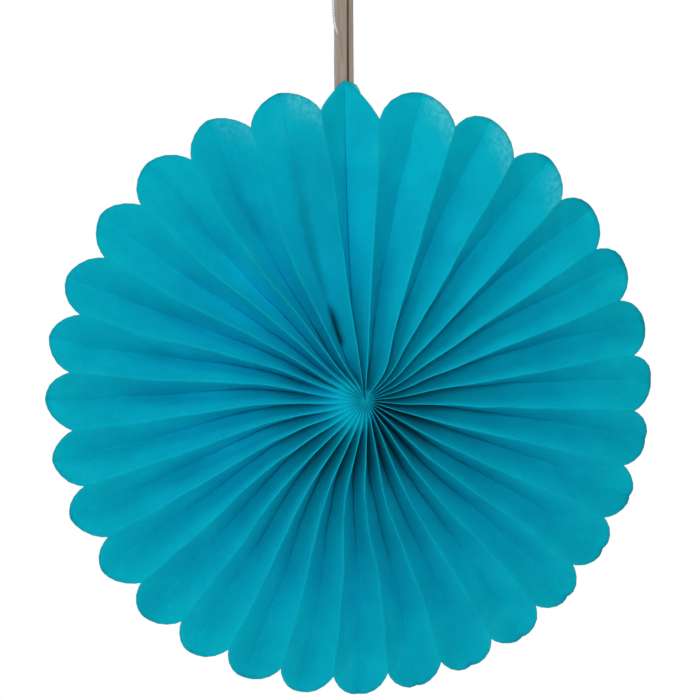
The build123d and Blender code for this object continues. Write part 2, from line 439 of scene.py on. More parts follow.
@dataclass(frozen=True)
class PaperFinish:
    """Dyed craft paper: fibres along the pleats, soft mottling, rubbed folds and chalky tips, with painted
    shade in the valleys, on the folds away from the hub and along the cut edge, and painted light and shade
    as paler and deeper colour.
    """

    light: Colour = (0.0, 0.44, 0.54, 1.0)
    deep: Colour = (0.0, 0.33, 0.45, 1.0)
    rubbed: Colour = (0.02, 0.48, 0.57, 1.0)
    chalky: Colour = (0.09, 0.53, 0.60, 1.0)
    edge: Colour = (0.0, 0.22, 0.29, 1.0)
    # Painted shade: the colour painted into the valleys near the hub, the gaps and the slit.
    hollow: Colour = (0.0, 0.09, 0.13, 1.0)
    fibre_across: float = 0.5
    fibre_along: float = 9.0
    grain: float = 2.6
    mottle: float = 22.0
    speckle: float = 2.4
    tone_step: float = 40.0
    relief: float = 0.12
    cloud: Fade = Fade(0.3, 0.7)
    light_shares: tuple[float, ...] = (0.45, 0.35, 0.2, 0.75)
    chalk_shares: tuple[float, ...] = (0.6, 0.4)
    relief_shares: tuple[float, ...] = (0.6, 0.4)
    fold_rub: Fade = Fade(0.0, 0.5, 0.35, 0.0)
    rubbed_fibres: Fade = Fade(0.35, 0.75)
    rubbed_reach: Fade = Fade(30.0, 60.0, 1.0, 0.0)
    rim_patches: Fade = Fade(0.56, 0.8, 0.0, 0.3)
    rim_reach: Fade = Fade(4.0, 55.0, 1.0, 0.0)
    chalk: Fade = Fade(0.36, 0.64, 0.0, 0.7)
    cut_edge: Fade = Fade(0.0, 0.35, 0.7, 0.0)
    # Painted shade on the folds away from the hub.
    painted_crest_shade: Fade = Fade(0.0, 0.6, 0.33, 0.0)
    crest_reach: Fade = Fade(35.0, 60.0)
    nub_depth: Fade = Fade(2.0, 10.0, 0.68, 1.0)
    bluer: Fade = Fade(85.0, 145.0, 1.08, 1.0)
    roughness: float = 0.72
    fibre_roughness: float = 0.2

    def material(self) -> bpy.types.Material:
        """Build the paper's material.

        Returns:
            The material, which reads the attributes that the pleated paper keeps.
        """
        bench = ShaderBench("teal_craft_paper", Specular_IOR_Level=0.05)
        across, along = bench.attribute("across"), bench.attribute("along")
        tone, rim, fold = bench.attribute("tone"), bench.attribute("rim"), bench.attribute("fold")
        panel = tone * self.tone_step
        sheet = bench.vector(across, along, panel)
        fibres = bench.vector(across / self.fibre_across, along / self.fibre_along, panel)
        fibres = bench.noise(fibres, scale=1.0, detail=4.0, rough=0.6)
        grain = bench.noise(sheet, scale=self.grain, detail=2.0)
        mottle = bench.noise(bench.place(), scale=1 / (self.mottle * MM), detail=3.0, rough=0.55)
        speckle = bench.noise(sheet, scale=1 / self.speckle, detail=4.0, rough=0.6)
        light = weighted(self.light_shares, self.cloud.of(mottle), fibres, tone, speckle - 0.5)
        colour = bench.blend(light, self.deep, self.light)
        rub = self.fold_rub.of(fold) * self.rubbed_fibres.of(fibres) * self.rubbed_reach.of(along)
        rub = rub + self.rim_patches.of(mottle) * self.rim_reach.of(rim)
        colour = bench.blend(rub, colour, self.rubbed)
        chalk = bench.attribute("worn") * self.chalk.of(weighted(self.chalk_shares, speckle, fibres))
        colour = bench.blend(chalk, colour, self.chalky)
        # The dark line along the cut edge is partly the edge's own colour and partly painted shade.
        colour = bench.blend(self.cut_edge.of(rim), colour, self.edge)
        # Painted shade in the valleys, the gaps and the slit.
        colour = bench.blend(bench.attribute("hollow"), colour, self.hollow)
        # Painted shade: the folds away from the hub are darkened towards the edge colour to dim their
        # highlight.
        colour = bench.blend(self.painted_crest_shade.of(fold) * self.crest_reach.of(along), colour, self.edge)
        # Painted light and shade: the colour is made paler or deeper by the painted factor, darker towards
        # the nub in the middle, and bluer inwards, where the shade deep in the pleats is bluer.
        dye = self.nub_depth.of(along) * bench.attribute("dye")
        colour = bench.vectors("MULTIPLY", colour, bench.vector(dye, dye, dye * self.bluer.of(along)))
        roughness = self.roughness + fibres * self.fibre_roughness
        bench.finish(colour, roughness, weighted(self.relief_shares, fibres, grain), self.relief * MM)
        return bench.material


@dataclass(frozen=True)
class RibbonFinish:
    """Plain ribbed ribbon with streaks along its length and a painted shadow line between its strands."""

    base: Colour = (0.33, 0.25, 0.195, 1.0)
    pale: Colour = (0.43, 0.36, 0.30, 1.0)
    dark: Colour = (0.17, 0.12, 0.09, 1.0)
    cool: Colour = (0.36, 0.34, 0.36, 1.0)
    shadow: Colour = (0.045, 0.028, 0.016, 1.0)
    rib_pitch: float = 0.55
    weft_pitch: float = 0.42
    streak_width: float = 0.35
    streak_length: float = 14.0
    relief: float = 0.1
    pale_shares: tuple[float, ...] = (0.5, 0.15)
    relief_shares: tuple[float, ...] = (0.55, 0.2, 0.25)
    streaks: Fade = Fade(0.35, 0.68)
    cool_side: Fade = Fade(0.4, 2.2, 0.55, 0.0)
    line: Band = Band(2.45, 2.7, 3.7, 4.1)
    line_reach: Fade = Fade(84.0, 90.0, 0.0, 0.92)
    roughness: float = 0.62
    streak_roughness: float = 0.2

    def material(self) -> bpy.types.Material:
        """Build the ribbon's material.

        Returns:
            The material, which reads how far across and along the ribbon a point is.
        """
        bench = ShaderBench("taupe_ribbon", Specular_IOR_Level=0.3)
        across, along = bench.attribute("across"), bench.attribute("along")
        streaks = bench.vector(across / self.streak_width, along / self.streak_length, 0.0)
        streaks = bench.noise(streaks, scale=1.0, detail=4.0, rough=0.65)
        ribs = (across * (2 * math.pi / self.rib_pitch)).sine() * 0.5 + 0.5
        weft = (along * (2 * math.pi / self.weft_pitch)).sine() * 0.5 + 0.5
        colour = bench.blend(self.streaks.of(streaks), self.dark, self.base)
        colour = bench.blend(weighted(self.pale_shares, ribs, weft), colour, self.pale)
        colour = bench.blend(self.cool_side.of(across), colour, self.cool)
        # Painted shadow: the front strand's shadow on the rear strand, beside the front strand's edge.
        colour = bench.blend(self.line.of(across) * self.line_reach.of(along), colour, self.shadow)
        roughness = self.roughness + streaks * self.streak_roughness
        weave = weighted(self.relief_shares, ribs, weft, streaks)
        bench.finish(colour, roughness, weave, self.relief * MM)
        return bench.material


@dataclass(frozen=True)
class ThreadFinish:
    """Pale twisted thread."""

    pale: Colour = (0.74, 0.76, 0.78, 1.0)
    shade: Colour = (0.42, 0.44, 0.47, 1.0)
    fibre_scale: float = 2600.0
    slub_scale: float = 260.0
    relief: float = 0.06
    pale_shares: tuple[float, ...] = (0.6, 0.4)
    mix: Fade = Fade(0.3, 0.62)
    roughness: float = 0.85

    def material(self) -> bpy.types.Material:
        """Build the thread's material.

        Returns:
            The material, with fine fibres.
        """
        bench = ShaderBench("pale_thread", Specular_IOR_Level=0.3)
        fibres = bench.noise(bench.place(), scale=self.fibre_scale, detail=3.0, rough=0.6)
        slubs = bench.noise(bench.place(), scale=self.slub_scale, detail=2.0)
        pale = self.mix.of(weighted(self.pale_shares, fibres, slubs))
        colour = bench.blend(pale, self.shade, self.pale)
        bench.finish(colour, self.roughness, fibres, self.relief * MM)
        return bench.material


@dataclass(frozen=True)
class FilmFinish:
    """A clear-drying adhesive, for the tape in the seam and the bead in the hub."""

    name: str
    body: Colour
    cloudy: Colour
    roughness: float
    cloud_scale: float = 320.0
    cloud_roughness: float = 0.15
    relief: float = 0.15
    mix: Fade = Fade(0.35, 0.7)

    def material(self) -> bpy.types.Material:
        """Build the adhesive's material.

        Returns:
            The material, slightly cloudy.
        """
        bench = ShaderBench(self.name, Specular_IOR_Level=0.5)
        clouds = bench.noise(bench.place(), scale=self.cloud_scale, detail=3.0)
        colour = bench.blend(self.mix.of(clouds), self.body, self.cloudy)
        roughness = self.roughness + clouds * self.cloud_roughness
        bench.finish(colour, roughness, clouds, self.relief * MM)
        return bench.material


CLEAR_TAPE = FilmFinish("clear_tape", (0.78, 0.77, 0.70, 1.0), (0.86, 0.85, 0.80, 1.0), 0.3)
DRIED_GLUE = FilmFinish("dried_glue", (0.70, 0.66, 0.54, 1.0), (0.80, 0.77, 0.68, 1.0), 0.28)


@dataclass(frozen=True)
class Panel:
    """Which panel a point of the sheet lies on. Flags are 1 for yes and 0 for no.

    The share goes from 0 to 1 across the panel, and the valley share from its valley to its ridge.
    """

    number: Value
    share: Value
    valley_share: Value
    odd: Value
    ridge: Value
    is_first: Value
    is_second: Value
    is_before_last: Value
    is_last: Value
    is_flap: Value
    at_seam: Value


@dataclass(frozen=True)
class Spot(Panel):
    """A panel's point with its place. Angles are in radians, clockwise from the top.

    Outer is the cut edge's radius. A pitch is half the distance from one fold to the next of its kind.
    """

    outer: Value
    radius: Value
    from_valley: Value
    ridge_angle: Value
    middle_angle: Value
    valley_angle: Value
    seam_angle: Value
    ridge_pitch: Value
    valley_pitch: Value


@dataclass(frozen=True)
class Swell:
    """A level that rises from 0 at the axis to 1 at a peak radius and fades again."""

    peak: float
    power: int

    def of(self, radius: Value) -> Value:
        """The level at a radius."""
        reach = radius / self.peak
        return (reach * (1 - reach).exponent()) ** self.power


@dataclass(frozen=True)
class Folds:
    """How the folds run from the rim to the hub.

    Angles are in degrees, clockwise. A ridge's angle has waves round the rim, a swirl that is
    calm on one side, a push towards one side of the hub and an opening beside the seam. A valley
    lies midway between its ridges, apart from its lean.
    """

    lobes: int = 30
    rim_start: float = 4.9
    rim_waves: tuple[tuple[float, float], ...] = ((5.87, 1.3), (1.43, 0.69), (0.49, 0.23))
    first_pull: float = 1.75
    last_pull: float = 0.36
    swirl: float = 4.8
    swirl_start: float = 1.5
    swirl_reach: Swell = Swell(39.0, 3)
    calm: float = 0.8
    calm_ridge: float = 6.0
    calm_span: float = 3.3
    push: float = 22.5
    push_span: float = 3.5
    push_radius: float = 24.5
    push_power: float = 5.0
    opening: float = 30.0
    opening_span: float = 2.4
    opening_power: float = 1.3
    opening_core: float = 14.0
    lean_waves: tuple[float, float] = (1.9, 0.5)
    lean_offset: float = 0.9
    lean_reach: Swell = Swell(57.0, 4)
    seam_lean: float = 4.9
    seam_lean_reach: float = 73.0
    hub_lean: float = 3.0
    hub_lean_offset: float = 1.3
    hub_lean_reach: Swell = Swell(18.0, 2)
    hub_lean_turn: float = 20.0

    def law(self, notch_radius: float) -> bpy.types.NodeTree:
        """Build the group that gives a ridge's angle where it passes a radius.

        Args:
            notch_radius: Radius of the notches between the lobes.

        Returns:
            The group: Ridge and Radius in, Angle out, in radians clockwise from the top.
        """
        bench = GeometryBench("ridge angle", ("Ridge", "Radius"), [("Angle", "NodeSocketFloat")])
        ridge, radius = bench.given("Ridge"), bench.given("Radius")
        count = ridge - (ridge / self.lobes).floor() * self.lobes
        turn = count * (2 * math.pi / self.lobes)
        angle = ridge * (360 / self.lobes) + self.rim_start
        for wave, (sine, cosine) in enumerate(self.rim_waves, start=1):
            angle = angle + (turn * wave).sine() * sine
            angle = angle + (turn * wave).cosine() * cosine
        calm = (-(((count - self.calm_ridge) / self.calm_span) ** 2)).exponent() * self.calm
        swirl = (1 - (count / -self.swirl_start).exponent()) * self.swirl * (1 - calm)
        swirl = swirl * self.swirl_reach.of(radius)
        push = (count / -self.push_span).exponent() * self.push
        push = push / (1 + (radius / self.push_radius) ** self.push_power)
        opening = ((count + (1 - self.lobes)) / self.opening_span).exponent()
        core = radius * radius / (radius * radius + self.opening_core**2)
        inside = (1 - radius / notch_radius).at_least(0.0)
        opening = opening * inside**self.opening_power * core * self.opening
        first, last = count.below(0.5), count.above(self.lobes - 1.5)
        angle = angle + (1 - first - last) * (swirl + push - opening)
        angle = angle - first * self.first_pull + last * self.last_pull
        bench.put(bench.exit.inputs[0], angle * (math.pi / 180))
        return bench.tree

    def lean(self, middle: Value, radius: Value, in_seam: Number) -> Value:
        """How far a valley lies clockwise of the middle between its ridges.

        Args:
            middle: Angle midway between the ridges, in radians.
            radius: Distance from the fan's axis.
            in_seam: 1 for the seam's valley, else 0.

        Returns:
            The angle, in radians.
        """
        once, twice = self.lean_waves
        waves = middle.sine() * once + (middle * 2).sine() * twice + self.lean_offset
        hub = self.twist(middle) * self.hub_lean - self.hub_lean_offset
        leaned = waves * self.lean_reach.of(radius) - hub * self.hub_lean_reach.of(radius)
        seam = (radius / -self.seam_lean_reach).exponent() * self.seam_lean
        return (leaned + (seam - leaned) * in_seam) * (-math.pi / 180)

    def twist(self, angle: Value) -> Value:
        """Which way the pleats lie over near the hub, from -1 to 1, positive for clockwise."""
        return (angle + math.radians(self.hub_lean_turn)).sine() * -1.0


@dataclass(frozen=True)
class Scallops:
    """The cut outline: lobes with their tips at the valleys, and the seam lobe's own shape."""

    height: float = 11.4
    seam_slip: float = 4.4
    seam_rise: float = 2.0
    first_rise: float = 1.7
    seam_cut: float = 0.72
    first_cut: float = 1.335
    flap_corner: float = 0.6
    flap_drop: float = 4.0
    nick_turn: float = 135.0
    nick_sector: Fade = Fade(0.62, 0.85)
    nick: Fade = Fade(0.0, 0.2, 0.65, 0.0)

    def cut(self, panel: Panel, folds: Folds, tip: Value, width: Value) -> Value:
        """Work out where the paper ends.

        Args:
            panel: The point's panel.
            folds: How the folds run.
            tip: Radius of the lobes' tips.
            width: Width of a panel.

        Returns:
            The cut edge's radius.
        """
        share = panel.valley_share
        notch = tip - self.height - (panel.is_first + panel.is_second) * self.seam_slip
        lobe_tip = tip + (panel.is_last + panel.is_flap) * self.seam_rise + panel.is_first * self.first_rise
        drop = lobe_tip - notch
        bow = (width * width + drop * drop) / (drop * 2)
        across = share * width
        fall = bow - (bow * bow - across * across).at_least(0.0).root()
        fall = fall + (drop * share - fall) * panel.is_last * self.seam_cut
        fall = fall + (drop * share**self.first_cut - fall) * panel.is_first
        corner = (share - self.flap_corner).at_least(0.0) / (1 - self.flap_corner)
        flap_fall = share * self.seam_rise + corner * corner * self.flap_drop
        fall = fall + (flap_fall - fall) * panel.is_flap
        turn = (panel.ridge + panel.odd - 0.5) * (360 / folds.lobes) + (folds.rim_start - self.nick_turn)
        nick = self.nick_sector.of((turn * (math.pi / 180)).cosine()) * self.nick.of(share)
        return lobe_tip - fall - nick


@dataclass(frozen=True)
class Hub:
    """How the folds open from the hub: from a nub that bulges to one side, and from the slit."""

    nub_radius: float = 3.5
    nub_bulge: float = 5.5
    bulging_side: Sector = Sector(245.0, -0.6, 1.0)
    open_radius: float = 8.0
    open_bulge: float = 23.0
    slit_radius: float = 1.9
    power: float = 1.5
    relief: Fade = Fade(0.5, 4.0, 0.0, 0.035)

    def opened(self, spot: Spot) -> Value:
        """Work out how far the folds are open.

        Args:
            spot: The point.

        Returns:
            0 where they are pressed together, up to 1 where they are open.
        """
        bulge = self.bulging_side.of(spot.ridge_angle)
        free = 1 - spot.at_seam
        nub = (self.nub_radius + bulge * self.nub_bulge) * free + self.slit_radius * spot.at_seam
        wide = (self.open_radius + bulge * self.open_bulge) * free + 2 * self.slit_radius * spot.at_seam
        opened = Fade(nub, wide).of(spot.radius) ** self.power
        return opened + self.relief.of(spot.radius) * (1 - opened)


@dataclass(frozen=True)
class PaintedShade:
    """Painted shade, painted light and wear that the sheet keeps for its finish.

    Sides go from 0 at a valley to 1 at its ridge, bands follow the radius, turns are in degrees.
    """

    covered: Fade = Fade(0.3, 0.5, 10.0, 0.0)
    beside_seam: Fade = Fade(0.2, 0.4, 5.0, 0.0)
    # Painted light and shade: panels by the seam painted paler or deeper, and the valleys on the left
    # painted lighter.
    last_paler: Band = Band(35.0, 60.0, 105.0, 135.0, 0.18, 0.05)
    first_paler: Band = Band(20.0, 50.0, 75.0, 105.0, 0.13)
    deeper: Band = Band(55.0, 80.0, 105.0, 140.0, 0.15, 0.05)
    lit_sector: Sector = Sector(284.0, 0.3, 0.87)
    lit: Band = Band(10.0, 24.0, 62.0, 100.0, 0.39)
    # Painted shade in the valleys near the hub and by the nub.
    near_turn: Fade = Fade(4.0, 42.0, 108.0, 172.0)
    near_power: float = 1.5
    near: Band = Band(1.0, 9.0, 28.0, 52.0)
    far_turn: float = 215.0
    far: Band = Band(20.0, 45.0, 60.0, 100.0, 0.14)
    nub_sector: Sector = Sector(318.0, 0.65, 1.0)
    nub: Band = Band(0.5, 3.0, 8.0, 14.0, 0.8)
    # Painted shade: dark pockets on the sides of these valleys by the seam and the hub, which stand for the
    # shade in gaps between the pleats.
    gap_side: Fade = Fade(0.14, 0.34, 1.0, 0.0)
    gaps: tuple[tuple[float, Band], ...] = (
        (29.0, Band(25.0, 28.0, 38.0, 50.0)),
        (28.0, Band(26.0, 29.0, 32.0, 44.0, 0.5)),
        (25.0, Band(12.0, 15.0, 22.0, 34.0, 0.9)),
        (30.0, Band(-4.0, -1.0, 2.0, 14.0, 0.9)),
        (0.0, Band(-4.0, -1.0, 2.0, 14.0, 0.9)),
    )
    shaded_side: Fade = Fade(0.05, 0.35, 1.0, 0.0)
    shaded_valleys: tuple[tuple[float, Band], ...] = (
        (29.0, Band(40.0, 60.0, 60.0, 150.0, 0.42)),
        (28.0, Band(80.0, 100.0, 100.0, 145.0, 0.22)),
        (27.0, Band(90.0, 112.0, 112.0, 160.0, 0.18)),
    )
    # Painted shade of the slit beside the seam at the hub.
    slit: Fade = Fade(0.2, 0.8, 0.75, 0.0)
    slit_reach: Band = Band(0.2, 1.0, 4.5, 9.0)
    worn_sector: Sector = Sector(8.0, 0.72, 0.9)
    worn_side: Fade = Fade(0.05, 0.4)
    worn: Fade = Fade(2.0, 16.0, 1.0, 0.0)

    def dye(self, spot: Spot) -> Value:
        """Work out the painted light and shade, as how pale the paper's colour is.

        Args:
            spot: The point.

        Returns:
            1 for the plain colour, more for a paler one.
        """
        # Painted light: paler panels by the seam and lighter valleys on the left; painted shade: the deeper
        # panel before the last.
        paler = spot.is_last * self.last_paler.of(spot.radius)
        paler = paler + spot.is_first * self.first_paler.of(spot.radius)
        deeper = spot.is_before_last * self.deeper.of(spot.radius)
        lit = self.lit_sector.of(spot.middle_angle) * self.lit.of(spot.radius)
        return 1 + paler - deeper + lit * (1 - spot.from_valley)

    def near_hub(self, spot: Spot) -> Value:
        """Work out how far the light is kept out of the valleys near the hub.

        Args:
            spot: The point.

        Returns:
            How dark a valley is, from 0 to 1.
        """
        turn = self.near_turn.of(spot.radius) * (math.pi / 180)
        near = ((spot.middle_angle - turn).cosine() * 0.5 + 0.5) ** self.near_power
        near = near * self.near.of(spot.radius)
        far = (spot.middle_angle - math.radians(self.far_turn)).cosine() * 0.5 + 0.5
        far = far * self.far.of(spot.radius)
        nub = self.nub_sector.of(spot.middle_angle) * self.nub.of(spot.radius)
        return (near + far * (1 - near)).at_least(nub)

    def seam_slit(self, spot: Spot) -> Value:
        """Paint the shade of the narrow opening that the seam leaves beside the hub.

        Args:
            spot: The point.

        Returns:
            How dark the opening is, from 0 to 1.
        """
        angle = spot.valley_angle + (spot.ridge_angle - spot.valley_angle) * spot.from_valley
        beside = angle - spot.seam_angle
        dark = self.slit.of((beside.sine() * spot.radius).size())
        return dark * beside.cosine().above(0.0) * self.slit_reach.of(spot.radius)

    def hollow(self, spot: Spot) -> Value:
        """Gather the painted shade in the valleys, the gaps and the slit.

        Args:
            spot: The point.

        Returns:
            How dark the point is, from 0 to 1.
        """
        hollow = self.near_hub(spot) * (1 - spot.from_valley)
        for valleys, side in ((self.gaps, self.gap_side), (self.shaded_valleys, self.shaded_side)):
            for number, band in valleys:
                here = (spot.ridge + spot.odd).equals(number) * side.of(spot.from_valley)
                hollow = hollow.at_least(here * band.of(spot.radius))
        return hollow.at_least(self.seam_slit(spot))

    def wear(self, spot: Spot) -> Value:
        """Work out where the lobes are rubbed chalky.

        Args:
            spot: The point.

        Returns:
            How worn the point is, from 0 to 1.
        """
        worn = self.worn_sector.of(spot.middle_angle) * self.worn_side.of(spot.from_valley)
        worn = worn * (1 - spot.odd - spot.is_first)
        return worn * self.worn.of(spot.outer - spot.radius)

    def marks(self, spot: Spot, width: Value) -> dict[str, Value]:
        """Work out the numbers that the finish reads.

        Args:
            spot: The point.
            width: Width of a panel.

        Returns:
            Each attribute's value, by name.
        """
        beside_seam = spot.at_seam * self.beside_seam.of(spot.from_valley)
        covered = spot.is_first * self.covered.of(spot.from_valley)
        return {
            "across": (spot.number + spot.share) * width,
            "along": spot.radius,
            "rim": spot.outer - spot.radius + covered,
            "fold": spot.share.at_most(1 - spot.share) * width + beside_seam,
            # Painted light and shade, and painted shade in the valleys.
            "dye": self.dye(spot),
            "hollow": self.hollow(spot),
            "worn": self.wear(spot),
        }


@dataclass
class PleatedPaper:
    """The folded strip, opened into a fan and gathered at its hub."""

    tip_radius: float = 150.0
    cone_height: float = 38.0
    thickness: float = 0.22
    rim_depth: float = 12.5
    shallowest_depth: float = 5.0
    flap_width: Fade = Fade(132.0, 148.0, 6.0, 8.6)
    flap_full_radius: float = 45.0
    tape: float = 0.2
    tape_clearance: float = 0.03
    tape_inner_radius: float = 50.0
    tape_inset: float = 0.12
    seam_seat: Fade = Fade(105.0, 135.0, 0.0, 1.3)
    most_valley_thickness: float = 0.8
    most_layer: float = 2.0
    crease_sharpness: float = 0.9997
    roll: Fade = Fade(60.0, 120.0, 0.18, 0.1)
    odd_roll: Fade = Fade(10.0, 35.0, 5.0, 1.0)
    even_roll: Fade = Fade(25.0, 50.0)
    sag: Fade = Fade(12.0, 45.0, -0.5, 0.0)
    held_flat: Fade = Fade(0.3, 1.0, 1.0, 0.0)
    held_last: Fade = Fade(0.0, 0.5, 1.0, 0.0)
    crumples: tuple[tuple[float, Fade], ...] = (
        (34.0, Fade(6.0, 60.0, 0.225, 3.0)),
        (9.0, Fade(6.0, 30.0, 0.045, 0.6)),
    )
    crowding: float = 0.98
    row_power: float = 1.6
    columns: int = 8
    rows: int = 84
    seed: float = 7.0
    tone_seed: int = 11
    column_margin: float = 0.001
    merge_distance: float = 1e-7
    folds: Folds = Folds()
    scallops: Scallops = Scallops()
    hub: Hub = Hub()
    shade: PaintedShade = PaintedShade()
    finish: PaperFinish = PaperFinish()

    @property
    def flap(self) -> float:
        """Number of the glue flap's panel, which is the last."""
        return 2.0 * self.folds.lobes

    @property
    def notch_radius(self) -> float:
        """Radius of the notches between the lobes."""
        return self.tip_radius - self.scallops.height

    @property
    def panel_width(self) -> float:
        """Width of one flat panel, fold to fold."""
        chord = 2 * self.notch_radius * math.sin(math.pi / (2 * self.folds.lobes))
        return math.hypot(chord, self.rim_depth)

    def sizes(self) -> dict[str, float]:
        """Every input of the sheet's tree, by name, for the whole strip."""
        return {
            "Tip radius": self.tip_radius,
            "Cone height": self.cone_height,
            "Panel width": self.panel_width,
            "Thickness": self.thickness,
            "Crease sharpness": self.crease_sharpness,
            "Seed": self.seed,
            "First panel": 0.0,
            "Panels": self.flap + 1,
            "Inner radius": 0.0,
            "Outer limit": 2 * self.tip_radius,
            "Layer shift": 0.0,
            "Edge inset": 0.0,
        }

    def tape_sizes(self) -> dict[str, float]:
        """The inputs that make the tape in the seam instead of the paper."""
        return self.sizes() | {
            "First panel": self.flap,
            "Panels": 1.0,
            "Inner radius": self.tape_inner_radius,
            "Outer limit": self.notch_radius - self.scallops.seam_slip,
            "Layer shift": -0.5,
            "Edge inset": self.tape_inset,
        }

    def count_panels(self, across: Value) -> Panel:
        """Find the panel of each point of the grid.

        Args:
            across: How far along the strip the point is, in panels.

        Returns:
            The point's panel.
        """
        number = (across + self.column_margin).floor().at_most(self.flap)
        step = across - number
        share = step - (step * (2 * math.pi)).sine() * (self.crowding / (2 * math.pi))
        odd = number.modulo(2.0)
        is_first = number.below(0.5)
        is_last = number.equals(self.flap - 1)
        is_flap = number.above(self.flap - 0.5)
        return Panel(
            number=number,
            share=share,
            valley_share=share + odd * (1 - share * 2),
            odd=odd,
            ridge=(number / 2).floor(),
            is_first=is_first,
            is_second=number.equals(1.0),
            is_before_last=number.equals(self.flap - 2),
            is_last=is_last,
            is_flap=is_flap,
            at_seam=is_first + is_last + is_flap,
        )

    def open_fan(self, bench: GeometryBench, panel: Panel, down: Value) -> Spot:
        """Find where each point lies once the fan is open.

        Args:
            bench: The sheet's tree.
            panel: The point's panel.
            down: How far out from the hub the point's row is, from 0 to 1.

        Returns:
            The point with its place.
        """
        inner, inset, width = (bench.given(name) for name in ("Inner radius", "Edge inset", "Panel width"))
        outer = self.scallops.cut(panel, self.folds, bench.given("Tip radius"), width)
        outer = outer.at_most(bench.given("Outer limit"))
        radius = inner + (outer - inner) * down**self.row_power
        flap_share = (radius / self.flap_full_radius).at_most(1.0) * self.flap_width.of(radius) / width
        from_valley = inset + panel.valley_share * (1 - inset * 2)
        from_valley = from_valley * (1 - panel.is_flap * (1 - flap_share))
        law = self.folds.law(self.notch_radius)
        ridges = (panel.ridge, panel.ridge - 1, panel.ridge + 1, -1.0, 0.0)
        angles = [bench.call(law, Ridge=ridge, Radius=radius) for ridge in ridges]
        near, before, after, before_seam, after_seam = angles
        other = before + panel.odd * (after - before)
        middle, seam = (near + other) * 0.5, (before_seam + after_seam) * 0.5
        return Spot(
            **vars(panel),
            outer=outer,
            radius=radius,
            from_valley=from_valley,
            ridge_angle=near,
            middle_angle=middle,
            valley_angle=middle + self.folds.lean(middle, radius, panel.at_seam),
            seam_angle=seam + self.folds.lean(seam, radius, 1.0),
            ridge_pitch=(after - before) * radius * 0.25,
            valley_pitch=(near - other).size() * radius * 0.5,
        )

    def depth(self, width: Value, pitch: Value) -> Value:
        """Ridge to valley of a panel that keeps its width."""
        return (width * width - pitch * pitch).at_least(self.shallowest_depth**2).root()

    def crease(self, sharpness: Value, spot: Spot) -> Value:
        """Round the folds and roll the panels that lie over.

        Args:
            sharpness: Sharpness of the folds, 1 for a knife edge.
            spot: The point.

        Returns:
            0 at the valley's depth, 1 at the ridge's.
        """
        sweep = (sharpness * (spot.from_valley * math.pi).cosine()).arcsine()
        rounded = 0.5 - sweep / sharpness.arcsine() * 0.5
        flat_end = (spot.is_first + spot.is_flap) * spot.from_valley.below(0.5)
        rounded = rounded + (spot.from_valley - rounded) * flat_end
        lying = self.folds.twist(spot.middle_angle) * (spot.odd * 2 - 1) * (1 - spot.at_seam)
        rolled = lying.at_least(0.0) * self.roll.of(spot.radius)
        sides = self.odd_roll.of(spot.radius) * spot.odd + self.even_roll.of(spot.radius) * (1 - spot.odd)
        return 1 - (1 - rounded).at_least(0.0) ** (1 + rolled * sides)

    def set_back(self, bench: GeometryBench, spot: Spot) -> Value:
        """Find how far back along the fan's axis each point lies.

        Args:
            bench: The sheet's tree.
            spot: The point.

        Returns:
            Its distance behind the rim's plane, in millimetres.
        """
        radius, pitch = spot.radius, spot.valley_pitch
        width, thickness = bench.given("Panel width"), bench.given("Thickness")
        valley_depth = self.depth(width, pitch)
        axial = thickness * width * width / (thickness * valley_depth + pitch * width)
        cone = (radius / bench.given("Tip radius") - 1) * bench.given("Cone height")
        ridge = cone - self.depth(width, spot.ridge_pitch) * 0.5 + thickness * 0.5
        valley = cone + valley_depth * 0.5 - axial.at_most(self.most_valley_thickness) * 0.5
        valley = valley - spot.at_seam * self.seam_seat.of(radius)
        opened = self.hub.opened(spot)
        valley = ridge + (valley - ridge) * opened
        back = valley + (ridge - valley) * self.crease(bench.given("Crease sharpness"), spot)
        layer = axial.at_most(self.most_layer) * opened * ((self.thickness + self.tape) / self.thickness)
        turned_under = spot.is_flap * spot.from_valley - spot.is_first * (1 - spot.from_valley)
        return back + layer * (turned_under + bench.given("Layer shift"))

    def on_circle(self, angle: Value, radius: Value) -> Value:
        """The point at an angle and radius round the fan's axis."""
        return angle.bench.vector(angle.sine() * radius, 0.0, angle.cosine() * radius)

    def crumple(self, bench: GeometryBench, position: Value, radius: Value, loose: Value) -> Value:
        """Bend the panels a little, more so where they are wide.

        Args:
            bench: The sheet's tree.
            position: Point in millimetres.
            radius: Distance from the fan's axis.
            loose: 0 where the paper is held flat by the seam, up to 1.

        Returns:
            The moved point.
        """
        for wavelength, sway in self.crumples:
            sockets = {"W": bench.given("Seed"), "Scale": 1 / wavelength, "Detail": 1.0}
            noise = bench.node("ShaderNodeTexNoise", {"noise_dimensions": "4D"}, Vector=position, **sockets)
            shift = bench.vectors("SUBTRACT", bench.out(noise, "Color"), (0.5, 0.5, 0.5))
            position = bench.vectors("ADD", position, bench.scaled(shift, sway.of(radius) * loose))
        return position

    def place(self, bench: GeometryBench, spot: Spot) -> Value:
        """Find each point's position round the middle of the rim.

        Args:
            bench: The sheet's tree.
            spot: The point.

        Returns:
            The position, in millimetres.
        """
        valley = self.on_circle(spot.valley_angle, spot.radius)
        ridge = self.on_circle(spot.ridge_angle, spot.radius)
        flat = bench.between(spot.from_valley, valley, ridge)
        back = bench.vector(0.0, self.set_back(bench, spot), self.sag.of(spot.radius))
        loose = 1 - (spot.is_first + spot.is_flap) * self.held_flat.of(spot.from_valley)
        loose = loose * (1 - spot.is_last * self.held_last.of(spot.from_valley))
        return self.crumple(bench, bench.vectors("ADD", flat, back), spot.radius, loose)

